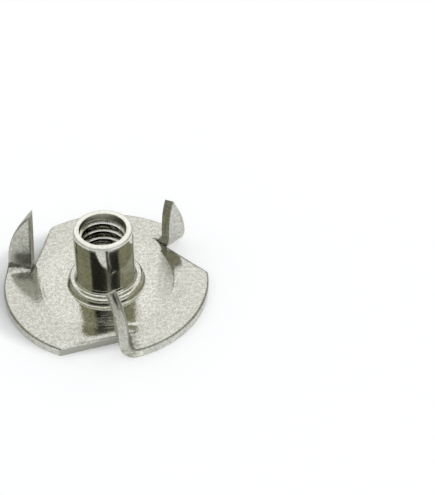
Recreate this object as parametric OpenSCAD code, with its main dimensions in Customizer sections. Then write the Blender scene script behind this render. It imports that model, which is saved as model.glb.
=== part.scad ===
// Three-prong tee nut, blanked, drawn and folded from one piece of stainless sheet.
// The origin is on the barrel's axis, in the flat seat face of the flange. +Z runs up the barrel.

/* [Sheet] */
// Thickness of the sheet, in the flange and in the prongs
sheet_t = 0.85; // [0.6:0.05:1]

/* [Flange] */
// Diameter of the round flange
flange_d = 16.5; // [15.5:0.1:18]
// Radius of the roll that blanking leaves along the upper edge of the rim
rim_roll = 0.2; // [0.1:0.05:0.35]
// Distance from the cuts of the prongs in to the shallow mark of the pressure pad
pad_gap = 0.65; // [0.3:0.05:1.5]
// Height of that mark's step on the upper face
pad_step = 0.04; // [0.02:0.01:0.08]

/* [Barrel] */
// Outside diameter of the drawn barrel
barrel_d = 4.76; // [4.5:0.02:5.2]
// Height of the barrel's mouth above the seat face
nut_h = 6.4; // [5.5:0.1:8]
// Radius on the outside edge of the barrel's mouth
mouth_edge_r = 0.18; // [0.1:0.02:0.3]

/* [Collar] */
// Distance that the stepped collar at the barrel's foot stands out past the barrel
collar_step = 0.67; // [0.55:0.01:1]
// Height of the collar above the flange
collar_h = 0.6; // [0.5:0.05:0.8]
// Radius on the collar's upper edge
collar_edge_r = 0.32; // [0.15:0.01:0.36]
// Radius of the fillet where the barrel leaves the collar
neck_r = 0.22; // [0.1:0.01:0.25]
// Radius of the fillet where the collar leaves the flange
foot_r = 0.12; // [0.05:0.01:0.14]

/* [Thread] */
// Diameter of the bore, which is the crest diameter of the number 8-32 thread
bore_d = 3.42; // [3.31:0.01:3.53]
// Distance that the lead-in at the mouth opens out past the bore
mouth_lead = 0.15; // [0.1:0.01:0.25]
// Full angle of that steep, short lead-in
mouth_angle = 30; // [20:5:90]
// Distance that the drawn funnel opens out past the bore, where it meets the seat face
funnel_flare = 0.49; // [0.4:0.01:0.65]
// Radius of the lip that the draw leaves round the funnel
funnel_lip_r = 0.35; // [0.2:0.01:0.45]
// Full angle of the lead into the bore above the lip
funnel_angle = 75; // [60:5:90]

/* [Prongs] */
// Number of prongs
prong_count = 3; // [2:1:3]
// Direction of the first fold, seen from above and measured from +X
prong_turn = 168; // [0:1:360]
// Distance from the rim in to the straight cut that frees each prong
prong_w = 2; // [1.6:0.05:2.4]
// Width of the shear gap between that cut and the prong
shear_gap = 0.06; // [0.04:0.01:0.15]
// Inside radius of the fold
fold_r = 0.75; // [0.4:0.05:1]
// Angle that each prong is folded through
fold_angle = 81; // [70:1:90]
// Width of the blunt tip
tip_w = 0.08; // [0.05:0.01:0.3]

/* [Hidden] */
$fn = 96;
// Facets of the small circles that round a section, in a preview
round_fn = 24;
// Straight steps along the roll of an edge, which has to meet point for point across the folds
roll_steps = 6;
// Amount by which a cut runs past the faces that it opens
over = 1;
// Amount by which the flange, a fold and the rest of a prong run into each other, as one sheet
lap = 0.00001;
// Share of the thickness, from the inside of the fold, at which the sheet keeps its length
neutral = 0.35;

flange_r = flange_d / 2;
barrel_r = barrel_d / 2;
collar_r = barrel_r + collar_step;
bore_r = bore_d / 2;
funnel_r = bore_r + funnel_flare;
// Distance from the axis to the straight cuts, and to the prongs beside them
cut_offset = flange_r - prong_w;
prong_inner = cut_offset + shear_gap;
pad_r = cut_offset - pad_gap;
// Upper face of the flange inside the pad's mark, and of the collar
face_z = sheet_t + pad_step;
collar_z = face_z + collar_h;
// Length of sheet that a fold takes up, half of it on each side of the radius that it is folded on
fold_len = (fold_r + neutral * sheet_t) * fold_angle * PI / 180;
fold_start = -fold_len / 2;
// Where the rim of the flange meets a fold, which is also the fold's outer side
prong_outer = sqrt(pow(flange_r, 2) - pow(fold_start, 2));
// Straight length of a prong from its fold to its tip, as much as the cut frees in the flat blank
blade_len = sqrt(pow(flange_r, 2) - pow(prong_inner + tip_w, 2)) - fold_len / 2;
// Radius of a prong's curved edge, which runs on smoothly from the fold and ends at the tip
blade_taper = prong_outer - prong_inner - tip_w;
blade_edge_r = (pow(blade_len, 2) + pow(blade_taper, 2)) / (2 * blade_taper);

// Rounds off the outside corner of a section that is at p, right of and below it
module round_off(p, r) {
    difference() {
        children();
        translate(p - [r, r])
            difference() {
                square(r + over);
                circle(r, $fn = round_fn);
            }
    }
}

// Fills the inside corner of a section that is at p, left of and above it
module fillet(p, r) {
    translate(p)
        difference() {
            translate([-r, -r]) square(2 * r);
            translate([r, r]) circle(r, $fn = round_fn);
        }
}

// Section of the sheet with a rolled upper edge: its outer edge at x = edge, its underside at y = 0
module rolled_sheet(inner, edge) {
    polygon(concat(
        [[inner, sheet_t], [inner, 0], [edge, 0]],
        [for (i = [0:roll_steps]) let (a = 90 * i / roll_steps)
            [edge - rim_roll * (1 - cos(a)), sheet_t - rim_roll * (1 - sin(a))]]
    ));
}

// Half section of the flange: flat seat face, rolled upper edge and the pad's shallow mark
module flange_section() {
    rolled_sheet(0, flange_r);
    polygon([[0, 0], [pad_r + pad_step, 0], [pad_r + pad_step, sheet_t], [pad_r, face_z], [0, face_z]]);
}

// Half section of the barrel and its collar, without the bore
module barrel_section() {
    round_off([collar_r, collar_z], collar_edge_r)
        square([collar_r, collar_z]);
    round_off([barrel_r, nut_h], mouth_edge_r)
        square([barrel_r, nut_h]);
    fillet([collar_r, face_z], foot_r);
    fillet([barrel_r, collar_z], neck_r);
}

// Half section of the bore, with the lead-in at the mouth and the drawn funnel at the seat face
module bore_section() {
    mouth_depth = mouth_lead / tan(mouth_angle / 2);
    // The funnel's lip is an arc that is tangent to the seat face and to the cone above it
    lip_r = funnel_r - funnel_lip_r * cos(funnel_angle / 2);
    lip_z = funnel_lip_r * (1 - sin(funnel_angle / 2));
    funnel_z = lip_z + (lip_r - bore_r) / tan(funnel_angle / 2);
    translate([0, -over])
        square([bore_r, nut_h + 2 * over]);
    polygon([
        [0, nut_h - mouth_depth],
        [bore_r, nut_h - mouth_depth],
        [bore_r + (mouth_depth + over) * tan(mouth_angle / 2), nut_h + over],
        [0, nut_h + over]
    ]);
    difference() {
        polygon([[0, -over], [funnel_r, -over], [funnel_r, 0], [lip_r, lip_z], [bore_r, funnel_z], [0, funnel_z]]);
        translate([funnel_r, funnel_lip_r]) circle(funnel_lip_r, $fn = round_fn);
    }
}

// The modules below are in one prong's frame: +X out along the radius that it is folded on,
// and +Y towards the side that it is cut free on.

// The sheet that is missing beside a prong, from the start of the fold to the corner of the flange
module prong_opening() {
    translate([cut_offset, fold_start + lap, -over])
        cube([flange_r, flange_r, sheet_t + 2 * over]);
}

// Section of the fold: radius from the fold's axis along x, distance out from the nut's axis along y
module fold_section() {
    translate([fold_r + sheet_t, 0])
        rotate(90)
            rolled_sheet(prong_inner, prong_outer);
}

// The fold, which leaves the flange's plane and turns the sheet up
module fold() {
    translate([0, fold_start, sheet_t + fold_r])
        rotate([0, 90, 0])
            rotate_extrude(angle = fold_angle)
                fold_section();
}

// The straight rest of a prong: a piece of a disc with a rolled edge, cut along the shear and at the tip
module blade() {
    translate([0, fold_start + fold_r * sin(fold_angle), sheet_t + fold_r * (1 - cos(fold_angle))])
        rotate([fold_angle, 0, 0])
            intersection() {
                translate([prong_outer - blade_edge_r, 0, 0])
                    rotate_extrude()
                        translate([0, -sheet_t])
                            rolled_sheet(0, blade_edge_r);
                translate([prong_inner, -lap, -sheet_t - over])
                    cube([flange_r, blade_len + lap, sheet_t + 2 * over]);
            }
}

// Turns its children to each prong's place. Prongs lie clockwise of their folds, seen from above.
module each_prong() {
    for (i = [0:prong_count - 1])
        rotate(prong_turn + i * 360 / prong_count)
            mirror([0, 1, 0])
                children();
}

module flange() {
    difference() {
        rotate_extrude() flange_section();
        each_prong() prong_opening();
    }
}

module tee_nut() {
    color("#c6c5ba")
        difference() {
            union() {
                flange();
                rotate_extrude() barrel_section();
                each_prong() {
                    fold();
                    blade();
                }
            }
            rotate_extrude() bore_section();
        }
}

tee_nut();
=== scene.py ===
import math

import bmesh
import bpy
from mathutils import Matrix, Vector, noise


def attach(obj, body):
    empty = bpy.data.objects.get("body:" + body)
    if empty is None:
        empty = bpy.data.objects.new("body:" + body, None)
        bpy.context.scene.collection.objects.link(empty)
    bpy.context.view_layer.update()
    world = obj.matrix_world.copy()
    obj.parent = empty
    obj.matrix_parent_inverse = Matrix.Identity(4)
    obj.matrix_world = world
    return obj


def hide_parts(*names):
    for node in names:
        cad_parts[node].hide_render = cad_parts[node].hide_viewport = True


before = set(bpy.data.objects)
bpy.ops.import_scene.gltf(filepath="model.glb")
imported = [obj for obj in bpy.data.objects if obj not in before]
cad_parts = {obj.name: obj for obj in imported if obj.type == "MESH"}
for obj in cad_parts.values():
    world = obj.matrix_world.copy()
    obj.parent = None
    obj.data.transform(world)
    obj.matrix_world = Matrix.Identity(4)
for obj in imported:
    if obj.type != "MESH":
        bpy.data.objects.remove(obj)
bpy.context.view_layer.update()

# ---------------------------------------------------------------------------------------
# The flat blank of the nut. A round disc of 0.85 mm stainless sheet, blanked from strip:
# the punch leaves a rolled upper rim, and three straight shear cuts run in from the rim
# and free the three prongs. All of the nut is one piece, worked in millimetres here.
# ---------------------------------------------------------------------------------------
sheet_t = 0.85
flange_r = 8.245
rim_roll = 0.2
most_roll = 0.6                 # share of a narrow tip's width that the roll may take
burr_r = 0.05                   # soft lower edge of the rim and of the cuts
burr_at_cut = 0.7               # share of it that the cuts have
cut_offset = 6.25               # from the axis to the straight cuts
prong_inner = 6.31              # and to the prongs beside them
tip_w = 0.08
fold_r = 0.75
fold_angle = math.radians(81)
neutral = 0.35                  # share of the thickness at which the sheet keeps its length
fold_len = (fold_r + neutral * sheet_t) * fold_angle
fold_start = -fold_len / 2
fold_end = fold_len / 2
prong_outer = math.sqrt(flange_r ** 2 - fold_start ** 2)
blade_len = math.sqrt(flange_r ** 2 - (prong_inner + tip_w) ** 2) - fold_end
taper = prong_outer - prong_inner - tip_w
edge_r = (blade_len ** 2 + taper ** 2) / (2 * taper)
tip_y = fold_end + blade_len
corner_y = math.sqrt(flange_r ** 2 - cut_offset ** 2)
corner_angle = math.atan2(corner_y, cut_offset)
first_angle = math.atan2(fold_start, cut_offset)
next_angle = first_angle + 2 * math.pi / 3

# A shear cut sinks in over its first stretch, and draws the flange beside it down a little.
cut_onset = 0.9
cut_roll = 0.07
cut_roll_share = 0.6
cut_sag = 0.07
sag_reach = 0.75

# The pressure pad left a step, a little off centre and sharp on one side only.
pad_r = 5.42
pad_step = 0.04
pad_shift = Vector((-0.225, 0.05, 0))
pad_bite = math.radians(182)    # the sharp side, seen before the nut is turned to its place
pad_sharp = 0.12                # width of the step there
pad_soft = 1.3                  # and what is added to it on the other side
pad_blur = 0.9, 0.4             # radians from the sharp side, and over which it gets softer
step_line = 0.02                # from the pad's edge out to the middle of the step
# Along the step, on the side where the pad bit, a dark line is painted as the step's shadow, and
# further round a light one as a painted highlight. For each: the direction of its middle, half its
# length and its fade in radians, and its strength.
step_marks = (pad_bite - 0.28, 0.5, 0.2, 0.75), (pad_bite + 0.68, 0.38, 0.15, -0.5)
# The thin line along an edge, a painted dark reflection of the rolled edge: where it starts and
# ends, and the stretch that it fades over
line_start, line_end, line_fade = 0.015, 0.13, 0.08

spokes = 360                    # lines across the blank, 120 to each prong
sector = spokes // 3
fold_spokes = 14                # of these, the ones that lie in a fold
cut_spokes = 48                 # and the ones that lie along a cut
web_in = 3.4                    # the barrel's own mesh starts inside this circle
inner_rings = [web_in, 4.0, 4.6, 5.0, pad_r - 0.12, pad_r - 0.05, pad_r, pad_r + 0.04,
               pad_r + 0.1, 5.72]
cut_rings = [0.35, 0.7, 0.93, 1.0]                      # share of the way on to the cut
plate_rings = [0.03, 0.1, 0.24, 0.38, 0.52, 0.66, 0.8, 0.92]
roll_rings = [rim_roll * (1 - math.cos(math.radians(a))) for a in (90, 67.5, 45, 22.5, 0)]
cut_ring = len(inner_rings) + len(cut_rings) - 1
ring_count = cut_ring + 1 + len(plate_rings) + len(roll_rings)
first_ring = 10                 # radius of the first ring while the web is still bare rings
nearly = 1e-6


def unit(value):
    """The value, kept between 0 and 1."""
    return min(max(value, 0), 1)


def polar(r, angle):
    return Vector((r * math.cos(angle), r * math.sin(angle), 0))


def third_turn(count):
    """Turn about the axis by a number of thirds, from one prong's frame to another's."""
    return Matrix.Rotation(count * 2 * math.pi / 3, 3, "Z")


def prong_edge(y):
    """Outer edge of a prong in the flat, at y along it."""
    if y <= fold_end:
        return prong_outer
    return prong_outer - edge_r + math.sqrt(max(edge_r ** 2 - (y - fold_end) ** 2, 0))


def spoke_y(k, far):
    """Distance along a prong of its spoke k, with the last one at far."""
    if k <= fold_spokes:
        return fold_start + fold_len * k / fold_spokes
    return fold_end + (far - fold_end) * (k - fold_spokes) / (cut_spokes - fold_spokes)


def across(inner, outer, ring):
    """Place of a ring past the cut, between the line of the cut and the rim."""
    step = ring - cut_ring
    width = (outer - inner).length
    if step == 0 or width <= 1e-9:
        return inner.copy()
    roll = min(rim_roll, width * most_roll)
    if step <= len(plate_rings):
        reach = (width - roll) * plate_rings[step - 1]
    else:
        reach = width - roll_rings[step - len(plate_rings) - 1] * roll / rim_roll
    return inner + (outer - inner).normalized() * reach


def ring_and_spoke(point):
    angle = math.degrees(math.atan2(point.y, point.x)) % 360
    return math.hypot(point.x, point.y) - first_ring, angle * spokes / 360


def blank_place(ring, k, prong):
    """Place of a point of the web in the flat blank, in its prong's own frame."""
    if prong:
        y = spoke_y(k, tip_y)
        inner = Vector((prong_inner if k else cut_offset, y, 0))
        return across(inner, Vector((prong_edge(y), y, 0)), ring)
    if k <= cut_spokes:
        y = spoke_y(k, corner_y)
        line_point = Vector((cut_offset, y, 0))
        rim_point = Vector((cut_offset if k else math.sqrt(flange_r ** 2 - y * y), y, 0))
    else:
        # From one cut on to the next fold, the line of the rings eases out to the rim and back
        t = (k - cut_spokes) / (sector - cut_spokes)
        deep = math.hypot(cut_offset, fold_start)
        ease = math.sin(math.pi / 2 * min(1, 2.2 * t))
        line_point = polar(flange_r + (deep - flange_r) * ease,
                           corner_angle + (next_angle - corner_angle) * t)
        rim_end = math.atan2(fold_start, prong_outer) + 2 * math.pi / 3
        rim_point = polar(flange_r, corner_angle + (rim_end - corner_angle) * t)
    if ring >= cut_ring:
        return across(line_point, rim_point, ring)
    angle = first_angle + k * 2 * math.pi / spokes
    if ring < len(inner_rings):
        return polar(inner_rings[ring], angle)
    start = polar(inner_rings[-1], angle)
    return start.lerp(line_point, cut_rings[ring - len(inner_rings)])


# The web of rings and spokes starts as a line of points spun into a disc.
blank = bmesh.new()
line = [blank.verts.new((first_ring + i, 0, 0)) for i in range(ring_count)]
edges = [blank.edges.new(pair) for pair in zip(line, line[1:])]
bmesh.ops.spin(blank, geom=line + edges, axis=(0, 0, 1), cent=(0, 0, 0), dvec=(0, 0, 0),
               angle=2 * math.pi, steps=spokes, use_merge=True)

in_prong = blank.faces.layers.int.new("prong")
for face in blank.faces:
    ring, spoke = ring_and_spoke(face.calc_center_median())
    which, k = divmod(spoke, sector)
    if ring > cut_ring and k < cut_spokes:
        face[in_prong] = int(which) + 1

# The shear cut, along the inner side of a prong and across its tip. The fold stays joined.
sheared = []
for edge in blank.edges:
    if len({face[in_prong] for face in edge.link_faces}) == 2:
        ring, spoke = ring_and_spoke((edge.verts[0].co + edge.verts[1].co) / 2)
        if 0.25 <= spoke % sector <= sector - 0.25:
            sheared.append(edge)
bmesh.ops.split_edges(blank, edges=sheared)

# Marks that the finish reads: thin lines along edges, where a dark line is painted for the dark
# reflection in the rolled edge; the folded metal; the metal crowded inside a bend, over which a
# mottled darkening is painted shade; the sides (1 where sheared, -1 where rolled); and the split in
# a tip, which is painted dark as its shade. The prongs are 1 at the left, 2 at the right and 3 in
# front.
marks = ("painted_edge_line", "turned_up", "crowded", "cut_side", "split")
for name in marks:
    blank.verts.layers.float.new(name)
for name in ("sector", "prong"):
    blank.verts.layers.int.new(name)
painted_edge_line, turned_up, crowded, cut_side, split = (
    blank.verts.layers.float[name] for name in marks)
which_sector, which_prong = (blank.verts.layers.int[name] for name in ("sector", "prong"))
for vert in blank.verts:
    ring, spoke = ring_and_spoke(vert.co)
    which, k = divmod(round(spoke) % spokes, sector)
    owners = {face[in_prong] for face in vert.link_faces}
    prong = owners.pop() if len(owners) == 1 else 0
    if prong:
        k = min(k, cut_spokes)
    vert[which_prong] = prong
    vert[which_sector] = which
    vert.co = third_turn(which) @ blank_place(round(ring), k, prong)
bmesh.ops.remove_doubles(blank, verts=[v for v in blank.verts if not v[which_prong]], dist=1e-4)

# The sheet gets its thickness: the web is the underside, and its copy the upper face.
raised = bmesh.ops.extrude_face_region(blank, geom=blank.faces[:])
upper = {item for item in raised["geom"] if isinstance(item, bmesh.types.BMVert)}


def own_third(vert):
    """Number of the third of the nut that a point belongs to."""
    return vert[which_prong] - 1 if vert[which_prong] else vert[which_sector]


def prong_frame(vert):
    return third_turn(-own_third(vert)) @ vert.co


def eased(distance, radius):
    """Drop of a rounded edge at a distance from it."""
    if distance >= radius:
        return 0
    return radius - math.sqrt(radius ** 2 - (radius - max(distance, 0)) ** 2)


def angle_from(point, direction):
    """Angle between the direction of a point and another one, either way round."""
    return math.acos(math.cos(math.atan2(point.y, point.x) - direction))


for vert in blank.verts:
    flat = prong_frame(vert)
    on_prong = vert[which_prong] > 0
    freed = unit((flat.y - fold_start) / cut_onset)
    roll = rim_roll
    cut_gap = 1                 # as good as out of reach of a cut
    if on_prong:
        rim_gap = prong_edge(flat.y) - flat.x
        roll = min(roll, (prong_edge(flat.y) - prong_inner) * most_roll)
        if flat.y > fold_start + nearly:
            cut_gap = flat.x - prong_inner
        vert[turned_up] = min(unit((flat.y - fold_start) / fold_len) * 2, 1)
        vert[crowded] = math.sin(math.pi * unit((flat.y - fold_start) / (fold_len * 1.25)))
    else:
        rim_gap = flange_r - math.hypot(flat.x, flat.y)
        if fold_start + nearly < flat.y < corner_y + nearly and flat.x > 4:
            cut_gap = cut_offset - flat.x
    if vert not in upper:
        vert.co.z = max(eased(rim_gap, burr_r), eased(cut_gap, burr_r) * burr_at_cut)
        continue
    off_centre = vert.co - pad_shift
    blur = unit((angle_from(off_centre, pad_bite) - pad_blur[0]) / pad_blur[1])
    rise = unit((pad_r + 2 * step_line - off_centre.length) / (pad_sharp + pad_soft * blur))
    shear_roll = eased(cut_gap, cut_roll) * cut_roll_share * freed
    if not on_prong:
        shear_roll += cut_sag * max(1 - cut_gap / sag_reach, 0) ** 2 * freed
    vert.co.z = (sheet_t + pad_step * rise * rise * (3 - 2 * rise)
                 - max(eased(rim_gap, roll), shear_roll))
    gap = min(rim_gap, cut_gap)
    # A painted dark line along the rolled edge, for the dark reflection in it.
    vert[painted_edge_line] = min(gap / line_start, 1) * unit((line_end - gap) / line_fade)
    # On the pad's step the line is painted instead: dark for the step's shadow, and below 0 for a
    # highlight.
    if not on_prong and abs(off_centre.length - pad_r - step_line) < 0.03:
        vert[painted_edge_line] = sum(
            strength * unit((half - angle_from(off_centre, middle)) / fading)
            for middle, half, fading, strength in step_marks)

# The sides get lines through the thickness. Shearing leaves them rough under a smooth band,
# and the tip of the front prong is split along its rolled edge.
side_lines = 3
torn_depth = 0.03
split_prong = 3
split_from = 0.05               # from the tip
split_len = 1.3
split_depth = 0.26
outline = {}
for vert in blank.verts:
    outline[round(vert.co.x, 4), round(vert.co.y, 4)] = vert[which_prong], vert[which_sector]
uprights = [edge for edge in blank.edges
            if (edge.verts[0] in upper) != (edge.verts[1] in upper)
            and edge.verts[0].co.xy.length > web_in + 0.1]
parted = bmesh.ops.subdivide_edges(blank, edges=uprights, cuts=side_lines, use_grid_fill=True)
for vert in {item for item in parted["geom_inner"] if isinstance(item, bmesh.types.BMVert)}:
    vert[which_prong], vert[which_sector] = outline[round(vert.co.x, 4), round(vert.co.y, 4)]
    vert[painted_edge_line] = 0
    on_prong = vert[which_prong] > 0
    flat = prong_frame(vert)
    at_cut = (abs(flat.x - (prong_inner if on_prong else cut_offset)) < 0.01
              and flat.y > fold_start + 0.1)
    if not (at_cut or on_prong):
        continue
    vert[cut_side] = 1 if at_cut else -1
    torn = torn_depth * abs(noise.noise(Vector((flat.y * 4.5, vert.co.z * 9,
                                                vert[which_prong] * 7.7))))
    inward = torn if at_cut == on_prong else -torn
    along_split = (tip_y - flat.y - split_from) / split_len
    if (vert[which_prong] == split_prong and not at_cut and 0 < along_split < 1
            and vert.co.z > 0.45 * sheet_t):
        vert[split] = math.sin(math.pi * along_split ** 0.6)
        inward -= split_depth * vert[split]
    vert.co += third_turn(own_third(vert)) @ Vector((inward, 0, 0))
# The circle that the barrel's mesh starts from is left open.
bmesh.ops.delete(blank, context="FACES_ONLY", geom=[
    face for face in blank.faces
    if all(abs(math.hypot(vert.co.x, vert.co.y) - web_in) < 1e-3 for vert in face.verts)])

# ---------------------------------------------------------------------------------------
# The barrel, drawn up out of the same sheet and ironed thin, with the stepped collar that
# the draw leaves at its foot, a steep lead-in at the mouth and a funnel underneath.
# ---------------------------------------------------------------------------------------
barrel_r = 2.38
nut_h = 6.4
mouth_edge_r = 0.18
collar_r = 3.05
collar_h = 0.6
collar_edge_r = 0.32
neck_r = 0.22
foot_r = 0.12
bore_r = 1.71
mouth_r = bore_r + 0.15
mouth_half = 15                 # half of the lead-in's angle, in degrees
funnel_r = 2.2
funnel_half = 37.5              # half of the funnel's
lip_r = 0.35
face_z = sheet_t + pad_step
collar_z = face_z + collar_h
mouth_depth = (mouth_r - bore_r) / math.tan(math.radians(mouth_half))
lip_x = funnel_r - lip_r * math.cos(math.radians(funnel_half))
lip_z = lip_r * (1 - math.sin(math.radians(funnel_half)))
funnel_z = lip_z + (lip_x - bore_r) / math.tan(math.radians(funnel_half))


def arc(centre, radius, start, end, steps):
    """Points of an arc in the section, from start to end in degrees."""
    angles = [math.radians(start + (end - start) * i / steps) for i in range(steps + 1)]
    return [(centre[0] + radius * math.cos(angle), centre[1] + radius * math.sin(angle))
            for angle in angles]


section = (
    [(web_in, face_z), (collar_r + 0.15, face_z)]
    + arc((collar_r + foot_r, face_z + foot_r), foot_r, 270, 180, 4)
    + arc((collar_r - collar_edge_r, collar_z - collar_edge_r), collar_edge_r, 0, 90, 8)
    + arc((barrel_r + neck_r, collar_z + neck_r), neck_r, 270, 180, 6)
    + [(barrel_r, z) for z in (1.76, 2.4, 3.2, 4.0, 4.8, 5.6, 6.17)]
    + arc((barrel_r - mouth_edge_r, nut_h - mouth_edge_r), mouth_edge_r, 0, 90, 6)
    # The flat ring of the mouth, and its inner edge, which is just broken
    + [(barrel_r - 0.22, nut_h), (mouth_r + 0.07, nut_h), (mouth_r + 0.04, nut_h)]
    + [(mouth_r + 0.01, nut_h - 0.01), (mouth_r, nut_h - 0.04), (bore_r, nut_h - mouth_depth)]
    + [(bore_r, funnel_z)]
    + arc((funnel_r, lip_r), lip_r, 180 + funnel_half, 270, 5)
    + [(2.7, 0), (web_in, 0)]
)
barrel = bmesh.new()
line = [barrel.verts.new((r, 0, z)) for r, z in section]
edges = [barrel.edges.new(pair) for pair in zip(line, line[1:])]
bmesh.ops.rotate(barrel, verts=line, matrix=Matrix.Rotation(first_angle, 3, "Z"))
bmesh.ops.spin(barrel, geom=line + edges, axis=(0, 0, 1), cent=(0, 0, 0), dvec=(0, 0, 0),
               angle=2 * math.pi, steps=spokes, use_merge=True)

# ---------------------------------------------------------------------------------------
# The folds. Each prong is turned up out of the plane of the flange over a small radius.
# The press leaves each a little different, with the metal crowded inside the bend.
# ---------------------------------------------------------------------------------------
prong_turn = math.radians(168)
slack_turn = math.radians(4)    # last part of a fold, which runs on up the blade
slack_len = 0.5
slack_r = slack_len / slack_turn - neutral * sheet_t
crumple = 0.03                  # depth of the crumpled metal inside a bend
pinch = 0.04                    # how far the bend draws in at the cut side
drawn_len = 1.1                 # stretch of a tip that is drawn longer
# For each prong: degrees that it leans further in; how much later its bend starts at the
# inner and the outer side; how far the blade bows; how far the bend bulges at the rim; how
# much narrower the prong gets; and how much longer the outer face of its tip is drawn.
fold_facts = {
    1: {"lean": 0.0, "inner": 0.4, "outer": -0.28, "bow": 0.02, "bulge": 0.02,
        "narrow": 0, "drawn_tip": 0.3, "seed": 3.1},
    2: {"lean": 0.6, "inner": 0.2, "outer": 0.4, "bow": -0.17, "bulge": 0.1,
        "narrow": 0, "drawn_tip": 0.45, "seed": 8.7},
    3: {"lean": 0.4, "inner": 0.25, "outer": 0.5, "bow": -0.26, "bulge": 0.05,
        "narrow": 0.08, "drawn_tip": 0, "seed": 5.3},
}


def folded(flat, facts):
    """Where the fold takes a point of the flat blank, in the prong's own frame."""
    width = unit((flat.x - prong_inner) / (prong_outer - prong_inner))
    start = fold_start + facts["inner"] + (facts["outer"] - facts["inner"]) * width
    length = fold_end - start
    along = flat.y - start
    if along <= 0:
        return flat
    share = min(along / length, 1)
    depth = sheet_t - flat.z
    crowd = math.sin(math.pi * share) ** 2 * max(0, 1 - depth / sheet_t)
    depth += noise.noise(Vector((flat.x * 3.2, flat.y * 5.5, facts["seed"]))) * crumple * crowd
    tight_turn = fold_angle + math.radians(facts["lean"]) - slack_turn
    tight_r = length / tight_turn - neutral * sheet_t
    first_turn = tight_turn * share
    second_turn = slack_turn * unit((along - length) / slack_len)
    turn = first_turn + second_turn
    x = (flat.x + crowd * (facts["bulge"] * width ** 3 - pinch * (1 - width) ** 3)
         - facts["narrow"] * width * share)
    if second_turn == 0:
        reach = max(tight_r + depth, 0.02)
        return Vector((x, start + reach * math.sin(turn),
                       sheet_t + tight_r - reach * math.cos(turn)))
    near_tip = max(1 - (tip_y - flat.y) / drawn_len, 0)
    rest = (max(along - length - slack_len, 0)
            + facts["drawn_tip"] * near_tip ** 2 * depth / sheet_t)
    bowed = facts["bow"] * math.sin(math.pi * min(rest / blade_len, 1))
    reach = slack_r + depth + bowed
    return Vector((x,
                   start + (tight_r - slack_r) * math.sin(first_turn)
                   + reach * math.sin(turn) + rest * math.cos(turn),
                   sheet_t + tight_r - (tight_r - slack_r) * math.cos(first_turn)
                   - reach * math.cos(turn) + rest * math.sin(turn)))


for vert in blank.verts:
    if vert[which_prong]:
        facts = fold_facts[vert[which_prong]]
        vert.co = third_turn(own_third(vert)) @ folded(prong_frame(vert), facts)

# The blank, its prongs and its barrel are one sheet.
drawn = bpy.data.meshes.new("drawn_barrel")
barrel.to_mesh(drawn)
barrel.free()
blank.from_mesh(drawn)
bmesh.ops.remove_doubles(blank, verts=blank.verts[:], dist=2e-4)
bmesh.ops.transform(blank, verts=blank.verts[:],
                    matrix=Matrix.Rotation(prong_turn, 4, "Z") @ Matrix.Scale(-1, 4, (0, 1, 0)))
bmesh.ops.recalc_face_normals(blank, faces=blank.faces[:])
nut_mesh = bpy.data.meshes.new("pressed_nut")
blank.to_mesh(nut_mesh)
blank.free()
bpy.data.meshes.remove(drawn)
nut = bpy.data.objects.new("pressed_nut", nut_mesh)
bpy.context.scene.collection.objects.link(nut)

# ---------------------------------------------------------------------------------------
# The number 8-32 thread, cut into the bore by a tap: a right-hand 60 degree groove, 0.794 mm
# to a turn and 4.17 mm across its root. It starts in the funnel and runs out under the mouth.
# ---------------------------------------------------------------------------------------
pitch = 25.4 / 32
root_r = 2.083
root_flat = pitch / 8
flank = math.radians(30)
tap_core_r = 1.5
turns = 8.5
turn_steps = 240
top_z = 5.517                   # middle of the last groove where it crosses the +X axis
run_out = math.radians(180), math.radians(300)
run_clear = 0.01                # what the teeth stay inside the bore by once they have run out


def groove_half(r):
    """Half of the groove's width at a radius."""
    return root_flat / 2 + (root_r - r) * math.tan(flank)


half_tooth = [(tap_core_r, groove_half(bore_r)), (bore_r, groove_half(bore_r)),
              (root_r - 0.1, groove_half(root_r - 0.1)), (root_r - 0.02, root_flat * 0.45)]
tooth = [(r, -z) for r, z in half_tooth] + [(root_r, 0)] + half_tooth[::-1]
tap = bmesh.new()
tap_start = run_out[1] - 2 * math.pi * turns
line = [tap.verts.new((r, 0, z + top_z + pitch * tap_start / (2 * math.pi))) for r, z in tooth]
bmesh.ops.rotate(tap, verts=line, matrix=Matrix.Rotation(tap_start, 3, "Z"))
face = tap.faces.new(line)
bmesh.ops.spin(tap, geom=[face] + face.edges[:] + line, axis=(0, 0, 1), cent=(0, 0, 0),
               dvec=(0, 0, pitch / turn_steps), angle=2 * math.pi * turns,
               steps=round(turn_steps * turns), use_merge=False)
for vert in tap.verts:
    angle = math.atan2(vert.co.y, vert.co.x)
    climbed = (vert.co.z - top_z) * 2 * math.pi / pitch
    angle += 2 * math.pi * round((climbed - angle) / (2 * math.pi))
    gone = unit((angle - run_out[0]) / (run_out[1] - run_out[0]))
    r = math.hypot(vert.co.x, vert.co.y)
    if r > bore_r + run_clear:
        vert.co.xy *= (r - gone * (root_r - bore_r + run_clear)) / r
bmesh.ops.recalc_face_normals(tap, faces=tap.faces[:])
tap_mesh = bpy.data.meshes.new("tap")
tap.to_mesh(tap_mesh)
tap.free()
tap_object = bpy.data.objects.new("tap", tap_mesh)
bpy.context.scene.collection.objects.link(tap_object)
cut = nut.modifiers.new("thread", "BOOLEAN")
cut.operation = "DIFFERENCE"
cut.solver = "EXACT"
cut.object = tap_object
tapped = bpy.data.meshes.new_from_object(
    nut.evaluated_get(bpy.context.evaluated_depsgraph_get()))
nut.modifiers.clear()
nut.data = tapped
bpy.data.meshes.remove(nut_mesh)
bpy.data.objects.remove(tap_object)
bpy.data.meshes.remove(tap_mesh)

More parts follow.
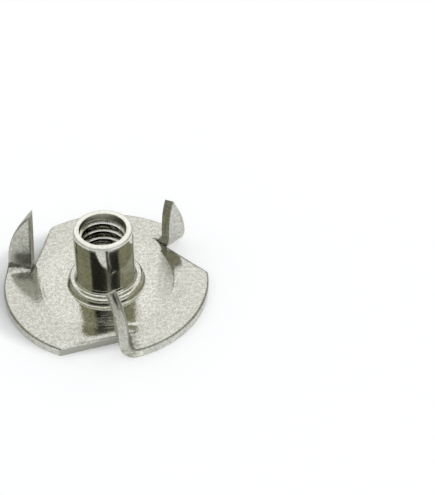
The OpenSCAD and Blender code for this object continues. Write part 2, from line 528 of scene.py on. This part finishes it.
# ---------------------------------------------------------------------------------------
# The finish of the steel. Tumbling leaves the flat faces of the stainless sheet a mottled
# satin, while the barrel keeps the shine that the die gave it, with fine upright draw
# lines. From here on lengths are in metres.
# ---------------------------------------------------------------------------------------
mm = 0.001
sharp_from = math.radians(38)   # an edge with a steeper turn than this is seen as an edge
smoothed = bmesh.new()
smoothed.from_mesh(nut.data)
bmesh.ops.scale(smoothed, verts=smoothed.verts[:], vec=(mm, mm, mm))
for face in smoothed.faces:
    face.smooth = True
for edge in smoothed.edges:
    if len(edge.link_faces) == 2:
        edge.smooth = edge.calc_face_angle(0) < sharp_from
smoothed.to_mesh(nut.data)
smoothed.free()
nut.data.name = "pressed_nut"

steel = bpy.data.materials.new("satin_stainless")
steel.use_nodes = True
nodes, links = steel.node_tree.nodes, steel.node_tree.links
shader = nodes["Principled BSDF"]
shader.inputs["Metallic"].default_value = 1.0


def feed(socket, value):
    """Links a socket to another one, or sets a number or a colour on it."""
    if isinstance(value, bpy.types.NodeSocket):
        links.new(value, socket)
    else:
        socket.default_value = value


def node(kind, **inputs):
    """A node of the material in hand, with its inputs by name."""
    made = nodes.new("ShaderNode" + kind)
    for name, value in inputs.items():
        feed(made.inputs[name], value)
    return made


def math_of(operation, first, second=None, clamp=False):
    """A sum on one or two values, each a socket or a number."""
    made = nodes.new("ShaderNodeMath")
    made.operation = operation
    made.use_clamp = clamp
    feed(made.inputs[0], first)
    if second is not None:
        feed(made.inputs[1], second)
    return made.outputs[0]


def part_of(*factors):
    """Product of masks and shares."""
    made = factors[0]
    for factor in factors[1:]:
        made = math_of("MULTIPLY", made, factor)
    return made


def sum_of(*terms):
    made = terms[0]
    for term in terms[1:]:
        made = math_of("ADD", made, term)
    return made


def weighted(*pairs):
    """Sum of masks, each times its own share."""
    return sum_of(*(part_of(mask, share) for mask, share in pairs))


def outside(mask):
    return math_of("SUBTRACT", 1.0, mask)


def split_up(vector):
    """The three parts of a place or a direction."""
    return node("SeparateXYZ", Vector=vector).outputs


def length_of(first, second):
    return math_of("SQRT", sum_of(part_of(first, first), part_of(second, second)))


def fade(value, low, high):
    """0 below low, 1 above high and smooth between them; high may be the lower one."""
    made = nodes.new("ShaderNodeMapRange")
    made.interpolation_type = "SMOOTHSTEP"
    falls = high < low
    made.inputs["From Min"].default_value = min(low, high)
    made.inputs["From Max"].default_value = max(low, high)
    made.inputs["To Min"].default_value = 1.0 if falls else 0.0
    made.inputs["To Max"].default_value = 0.0 if falls else 1.0
    links.new(value, made.inputs["Value"])
    return made.outputs[0]


def mixed(first, second, factor, blend="MIX"):
    """One colour laid over another by a factor."""
    made = nodes.new("ShaderNodeMix")
    made.data_type = "RGBA"
    made.blend_type = blend
    for name, value in (("A", first), ("B", second), ("Factor", factor)):
        feed(made.inputs[name], value)
    return made.outputs["Result"]


def attribute(name):
    made = nodes.new("ShaderNodeAttribute")
    made.attribute_name = name
    return made.outputs["Fac"]


def noise_of(scale, detail, roughness=0.55, stretch=None):
    """Noise over the piece, stretched along its axes where a grain runs one way."""
    vector = node("Mapping", Vector=place, Scale=stretch).outputs["Vector"] if stretch else place
    made = node("TexNoise", Scale=scale, Detail=detail, Roughness=roughness, Vector=vector)
    return made.outputs["Fac"]


# Where on the nut a point lies
place = nodes.new("ShaderNodeTexCoord").outputs["Object"]
x, y, z = split_up(place)
from_axis = length_of(x, y)
facing = split_up(nodes.new("ShaderNodeNewGeometry").outputs["True Normal"])
levelness = math_of("ABSOLUTE", facing[2])
near_bore = fade(from_axis, 2.13 * mm, 2.1 * mm)
on_barrel = part_of(fade(from_axis, 2.65 * mm, 2.45 * mm), fade(z, 1.5 * mm, 1.8 * mm))
drawn_skin = part_of(on_barrel, fade(from_axis, 2.1 * mm, 2.2 * mm))
satin = outside(math_of("MAXIMUM", on_barrel, near_bore))
inside_pad = fade(from_axis, 5.5 * mm, 5.3 * mm)
right_of_pad = part_of(inside_pad, fade(x, 3.6 * mm, 4.6 * mm))
at_mouth = part_of(fade(z, 6.2 * mm, 6.3 * mm), fade(from_axis, 1.84 * mm, 1.88 * mm))
mouth_edge = part_of(fade(z, 6.1 * mm, 6.21 * mm), fade(from_axis, 2.18 * mm, 2.22 * mm))
in_bore = part_of(near_bore, fade(z, 6.35 * mm, 6.3 * mm))
lead_in = part_of(fade(z, 5.8 * mm, 5.9 * mm), fade(from_axis, 1.88 * mm, 1.85 * mm))
# Painted highlight: the thread's flanks, both those facing up and those facing down, are made
# lighter because of the way they face.
lit_flank = part_of(in_bore, fade(levelness, 0.45, 0.7))
# Painted shade: the lands of the thread between the flanks are darkened further down.
crest_shade = math_of("MULTIPLY", math_of("SUBTRACT", in_bore, lit_flank), outside(lead_in), clamp=True)
prong, wrinkled, painted_edge_mark = (attribute(name) for name in ("turned_up", "crowded", "painted_edge_line"))
# The split in the front tip is painted dark further down, as its shade.
side, split_shade = attribute("cut_side"), attribute("split")
rolled_side = math_of("MAXIMUM", part_of(side, -1.0), 0.0)
sheared_wall = part_of(fade(levelness, 0.5, 0.3), fade(from_axis, 5.8 * mm, 6.1 * mm),
                       outside(prong))
left_bend = part_of(prong, wrinkled, fade(x, -2.0 * mm, -4.0 * mm))

# Clouds of about 2 mm, mottling of 0.3 mm, grain of 0.1 mm, and the marks of drawing and
# turning
cloud = noise_of(420.0, 3.0)
mottle = noise_of(3400.0, 3.0, 0.6)
grain = noise_of(9500.0, 2.0, 0.5)
draw_lines = noise_of(5200.0, 2.0, 0.6, (1, 1, 0.06))
crumples = noise_of(3800.0, 2.0, 0.6, (0.7, 1, 1.6))
rings = nodes.new("ShaderNodeTexNoise")
rings.noise_dimensions = "1D"
rings.inputs["Scale"].default_value = 6500.0
rings.inputs["Detail"].default_value = 2.0
links.new(from_axis, rings.inputs["W"])
turned = rings.outputs["Fac"]
turned_face = part_of(turned, inside_pad)

polished = 0.07                 # roughness where nothing dulls the steel
dull = weighted(
    (satin, 0.02),
    (part_of(satin, fade(cloud, 0.3, 0.7)), 0.07),
    (prong, 0.24),
    (left_bend, -0.16),
    (at_mouth, 0.12),
    (rolled_side, 0.32),
    (mouth_edge, 0.2),
    (lead_in, 0.2),
    (right_of_pad, 0.25),
    (part_of(painted_edge_mark, outside(prong)), 0.4),
)
feed(shader.inputs["Roughness"], math_of("ADD", dull, polished, clamp=True))

grey_steel = (0.40, 0.40, 0.35, 1)
white_steel = (0.92, 0.92, 0.84, 1)
shade_and_dark_steel = (0.16, 0.16, 0.14, 1)
# Lighter tone: real mottle, grain and turning marks, with a painted highlight on the thread's
# flanks.
bright_and_highlit = weighted(
    (part_of(fade(mottle, 0.38, 0.62), outside(in_bore)), 0.28),
    (part_of(fade(grain, 0.42, 0.6), satin), 0.36),
    (lead_in, 0.55),
    (cloud, 0.3),
    (inside_pad, 0.02),
    (at_mouth, 0.3),
    (turned_face, part_of(satin, 0.16)),
    (part_of(turned, at_mouth), 0.5),
    (lit_flank, 1.0),
    (on_barrel, 0.1),
)
# Darker tone: real wear of the prongs and the sides, with painted shade along the edges, all
# through the bore and in the bends. The pad's light line makes it negative there, a painted
# highlight.
worn_and_shaded = weighted(
    (prong, 0.16),
    (part_of(side, fade(mottle, 0.6, 0.42)), 0.2),
    (side, 0.1),
    (part_of(side, sheared_wall), 0.55),
    (painted_edge_mark, math_of("ADD", 0.3, part_of(prong, 0.5))),
    (sheared_wall, 0.12),
    (in_bore, 0.1),
    (mouth_edge, 0.1),
    # Painted shade: a mottled darkening over the bends.
    (part_of(wrinkled, fade(mottle, 0.56, 0.44)), 0.45),
)
tone = mixed(grey_steel, white_steel, math_of("SUBTRACT", bright_and_highlit, worn_and_shaded, clamp=True))
# The foot of the left prong's blade is painted dark, most of all near its cut side.
foot = part_of(fade(z, 1.0 * mm, 1.4 * mm), fade(z, 2.6 * mm, 2.1 * mm))
left_face = part_of(fade(x, -7.9 * mm, -7.1 * mm), fade(facing[1], -0.2, -0.5))
dark_blade_foot = part_of(part_of(foot, part_of(left_face, fade(x, -5.0 * mm, -5.8 * mm))),
                  math_of("ADD", 0.7, part_of(fade(mottle, 0.4, 0.6), 0.3)))
# Painted shade in dark steel: the thread's lands, the split in the front tip and the edge lines.
# The foot of the left blade is darkened too.
shade_and_dark_marks = part_of(painted_edge_mark, 0.25)
for mask in (part_of(crest_shade, 0.85), part_of(dark_blade_foot, 0.95), split_shade):
    shade_and_dark_marks = math_of("MAXIMUM", shade_and_dark_marks, mask)
feed(shader.inputs["Base Color"], mixed(tone, shade_and_dark_steel, shade_and_dark_marks))

relief = weighted(
    (part_of(satin, mottle), 0.8),
    (part_of(satin, grain), 0.35),
    (turned_face, part_of(satin, fade(cloud, 0.4, 0.65), 0.9)),
    (part_of(drawn_skin, draw_lines), 0.07),
    (part_of(wrinkled, crumples), 5.0),
)
dimples = node("Bump", Distance=0.01 * mm, Strength=0.8, Height=relief)
feed(shader.inputs["Normal"], dimples.outputs["Normal"])
nut.data.materials.clear()
nut.data.materials.append(steel)

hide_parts("tee_nut")
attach(nut, "root")

# ---------------------------------------------------------------------------------------
# The table top, a sheet of white paper. It shows as white and keeps the nut's own shadow. Round the
# nut's foot, a little to its left, its glow is held back, which paints a deeper shadow there.
# ---------------------------------------------------------------------------------------
floor_r = 0.6
paper_glow = 0.455              # what lifts the paper's own shade to white
ground = bmesh.new()
bmesh.ops.create_circle(ground, cap_ends=True, segments=96, radius=floor_r)
ground_mesh = bpy.data.meshes.new("floor")
ground.to_mesh(ground_mesh)
ground.free()
floor = bpy.data.objects.new("floor", ground_mesh)
bpy.context.scene.collection.objects.link(floor)
paper = bpy.data.materials.new("white_paper")
paper.use_nodes = True
nodes, links = paper.node_tree.nodes, paper.node_tree.links
shader = nodes["Principled BSDF"]
shader.inputs["Base Color"].default_value = (0.72, 0.735, 0.745, 1)
shader.inputs["Roughness"].default_value = 0.9
shader.inputs["Emission Color"].default_value = (1, 1, 1, 1)


def seen_by(path):
    """1 for what is seen, also by way of metal or glass, and 0 where it only lights a thing."""
    return math_of("ADD", sum_of(path.outputs["Is Camera Ray"], path.outputs["Is Glossy Ray"]),
                   path.outputs["Is Transmission Ray"], clamp=True)


paper_place = nodes.new("ShaderNodeTexCoord").outputs["Object"]
under_nut = node("Mapping", Vector=paper_place, Location=(2 * mm, 0, 0), Scale=(1, 1.17, 1))
across_paper = split_up(under_nut.outputs["Vector"])
away = length_of(across_paper[0], across_paper[1])
# Painted shadow: the paper's glow is full away from the nut and held back round its foot.
clear_of_painted_shadow = weighted((fade(away, 7.6 * mm, 9.1 * mm), 0.5),
                        (fade(away, 5.5 * mm, 7.8 * mm), 0.5))
glow = part_of(part_of(seen_by(nodes.new("ShaderNodeLightPath")), paper_glow), clear_of_painted_shadow)
feed(shader.inputs["Emission Strength"], glow)
floor.data.materials.append(paper)

# ---------------------------------------------------------------------------------------
# The room, a white tent that is open towards the camera. Polished steel shows the dim room
# there, with its dark uprights, while everything else is lit by plain white.
# ---------------------------------------------------------------------------------------
world = bpy.data.worlds.new("studio")
bpy.context.scene.world = world
world.use_nodes = True
nodes, links = world.node_tree.nodes, world.node_tree.links
background = nodes["Background"]
path = nodes.new("ShaderNodeLightPath")
glossy = path.outputs["Is Glossy Ray"]
x, y, z = split_up(nodes.new("ShaderNodeTexCoord").outputs["Generated"])
# Share of a turn, with 0.5 straight towards the camera and more to its right
bearing = math_of("ADD", math_of("DIVIDE", math_of("ARCTAN2", x, part_of(y, -1.0)),
                                 2 * math.pi), 0.5)
white, room, upright, gap = (1, 1, 1), (0.38, 0.375, 0.27), (0.025, 0.025, 0.022), (0.2, 0.2, 0.17)
stops = [(-180, white), (-152, white), (-138, room), (-54, room), (-49, upright), (5, upright),
         (9, gap), (20, gap), (24, upright), (58, upright), (64, room), (138, room),
         (152, white), (180, white)]
round_about = nodes.new("ShaderNodeValToRGB")
feed(round_about.inputs["Fac"], bearing)
ramp = round_about.color_ramp
while len(ramp.elements) < len(stops):
    ramp.elements.new(0.5)
for element, (degrees, colour) in zip(ramp.elements, stops):
    element.position = (degrees + 180) / 360
    element.color = (*colour, 1)
# The uprights are dark high up only. Below that the room is evenly dim.
uprights_seen = mixed(round_about.outputs["Color"], (0.38, 0.375, 0.3, 1), fade(z, 0.5, 0.4),
                      blend="LIGHTEN")
# The dim room is a band, which hangs higher to the right of the camera.
to_right = part_of(fade(bearing, 0.545, 0.565), fade(bearing, 0.68, 0.66))
band_foot = math_of("ADD", 0.2, part_of(to_right, 0.14))
above_foot = math_of("MULTIPLY", math_of("SUBTRACT", z, band_foot), 12.0, clamp=True)
tent = mixed((1, 1, 1, 1), uprights_seen, part_of(glossy, part_of(fade(z, 0.82, 0.75), above_foot)))
# Low over the table the far side of the room is dim too, which draws the rounded edges.
horizon = mixed(tent, (0.2, 0.2, 0.18, 1),
                part_of(glossy, part_of(fade(z, 0.3, 0.2), outside(to_right))))
feed(background.inputs["Color"], horizon)
lamp_level = 0.75               # strength at which the room lights the nut and the paper
feed(background.inputs["Strength"],
     math_of("ADD", part_of(seen_by(path), 1 - lamp_level), lamp_level))

# ---------------------------------------------------------------------------------------
# The camera, 42 degrees above the table and a little to the right of the nut, so that the
# nut stands left of the middle.
# ---------------------------------------------------------------------------------------
frame_px = 495                  # the longer side of the picture
focal_px = 1506.8
camera_down = math.radians(90 - 42.253)
camera_roll = math.radians(-0.289)
camera_data = bpy.data.cameras.new("camera")
camera_data.sensor_width = 36
camera_data.lens = focal_px * camera_data.sensor_width / frame_px
camera_data.clip_start = 0.005
camera = bpy.data.objects.new("camera", camera_data)
camera.matrix_world = (Matrix.Translation((0.008971, -0.088136, 0.084457))
                       @ Matrix.Rotation(camera_down, 4, "X")
                       @ Matrix.Rotation(camera_roll, 4, "Z"))
bpy.context.scene.collection.objects.link(camera)
bpy.context.scene.camera = camera
bpy.context.scene.view_settings.view_transform = "Standard"
